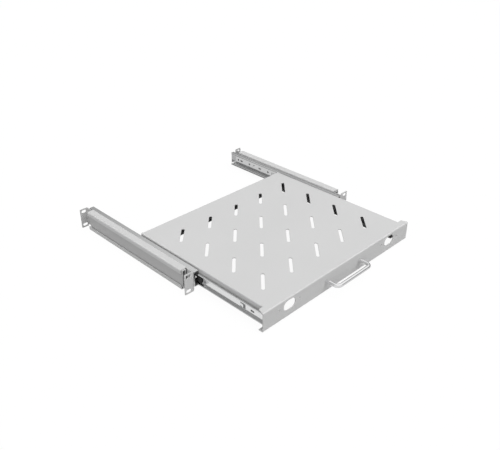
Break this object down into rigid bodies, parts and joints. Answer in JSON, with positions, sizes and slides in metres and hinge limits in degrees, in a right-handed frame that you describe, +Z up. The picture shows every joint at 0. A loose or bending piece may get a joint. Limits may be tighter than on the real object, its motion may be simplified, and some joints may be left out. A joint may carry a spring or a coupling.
{
  "type": "sliding rack shelf",
  "caption": "Sliding rack shelf: a vented steel tray with a bow handle on ball slides, carried by brackets with slotted front ears and telescoping rear ears.",
  "frame": {"origin": "middle of the four front rack holes, on the front face of the front ears", "axes": "+X to the right seen from the front, +Y into the rack, +Z up"},
  "size_m": [0.4826, 0.5581, 0.0442],
  "materials": {
    "grey_paint": "matt light grey powder coat",
    "slide_zinc": "bright zinc plated",
    "bright_wire": "bright nickel plated wire",
    "black_plastic": "moulded, fine texture",
    "ball_steel": "polished",
    "fastener_zinc": "zinc plated"
  },
  "bodies": {
    "brackets": {"bracket_left": "slide_zinc", "bracket_right": "slide_zinc", "outer_channel_left": "grey_paint", "outer_channel_right": "grey_paint", "slide_outer_left": "slide_zinc", "slide_outer_right": "slide_zinc", "end_cap_left": "black_plastic", "end_cap_right": "black_plastic", "bracket_screws_left": "fastener_zinc", "bracket_screws_right": "fastener_zinc", "bracket_nuts_left": "fastener_zinc", "bracket_nuts_right": "fastener_zinc"},
    "shelf": {"shelf_tray": "grey_paint", "handle": "bright_wire", "handle_screws": "fastener_zinc", "slide_inner_left": "slide_zinc", "slide_inner_right": "slide_zinc", "slide_spacers_left": "fastener_zinc", "slide_spacers_right": "fastener_zinc", "tray_screws_left": "fastener_zinc", "tray_screws_right": "fastener_zinc", "tray_nuts_left": "fastener_zinc", "tray_nuts_right": "fastener_zinc", "lever_rivet_left": "fastener_zinc", "lever_rivet_right": "fastener_zinc"},
    "cage_left": {"slide_cage_left": "slide_zinc", "slide_balls_left": "ball_steel"},
    "cage_right": {"slide_cage_right": "slide_zinc", "slide_balls_right": "ball_steel"},
    "rear_ear_left": {"rear_ear_left": "grey_paint"},
    "rear_ear_right": {"rear_ear_right": "grey_paint"},
    "lever_left": {"release_lever_left": "black_plastic"},
    "lever_right": {"release_lever_right": "black_plastic"}
  },
  "joints": [
    {"name": "shelf_slide", "type": "slide", "parent": "brackets", "child": "shelf", "axis": [0, -1, 0], "range_m": [-0.1746, 0.084]},
    {"name": "cage_left_roll", "type": "slide", "parent": "brackets", "child": "cage_left", "axis": [0, -1, 0], "range_m": [-0.0873, 0.042]},
    {"name": "cage_right_roll", "type": "slide", "parent": "brackets", "child": "cage_right", "axis": [0, -1, 0], "range_m": [-0.0873, 0.042]},
    {"name": "rear_ear_left_adjust", "type": "slide", "parent": "brackets", "child": "rear_ear_left", "axis": [0, 1, 0], "range_m": [0, 0.18]},
    {"name": "rear_ear_right_adjust", "type": "slide", "parent": "brackets", "child": "rear_ear_right", "axis": [0, 1, 0], "range_m": [0, 0.18]},
    {"name": "lever_left_press", "type": "hinge", "parent": "shelf", "child": "lever_left", "pos_m": [-0.21, 0.0251, 0.0017], "axis": [-1, 0, 0], "range_deg": [0, 4], "stiffness_Nm_per_rad": 0.05, "springref_deg": -5.73},
    {"name": "lever_right_press", "type": "hinge", "parent": "shelf", "child": "lever_right", "pos_m": [0.21, 0.0251, 0.0017], "axis": [-1, 0, 0], "range_deg": [0, 4], "stiffness_Nm_per_rad": 0.05, "springref_deg": -5.73}
  ],
  "couplings": [
    {"joint": "cage_left_roll", "follows": "shelf_slide", "ratio": 0.5},
    {"joint": "cage_right_roll", "follows": "shelf_slide", "ratio": 0.5}
  ]
}
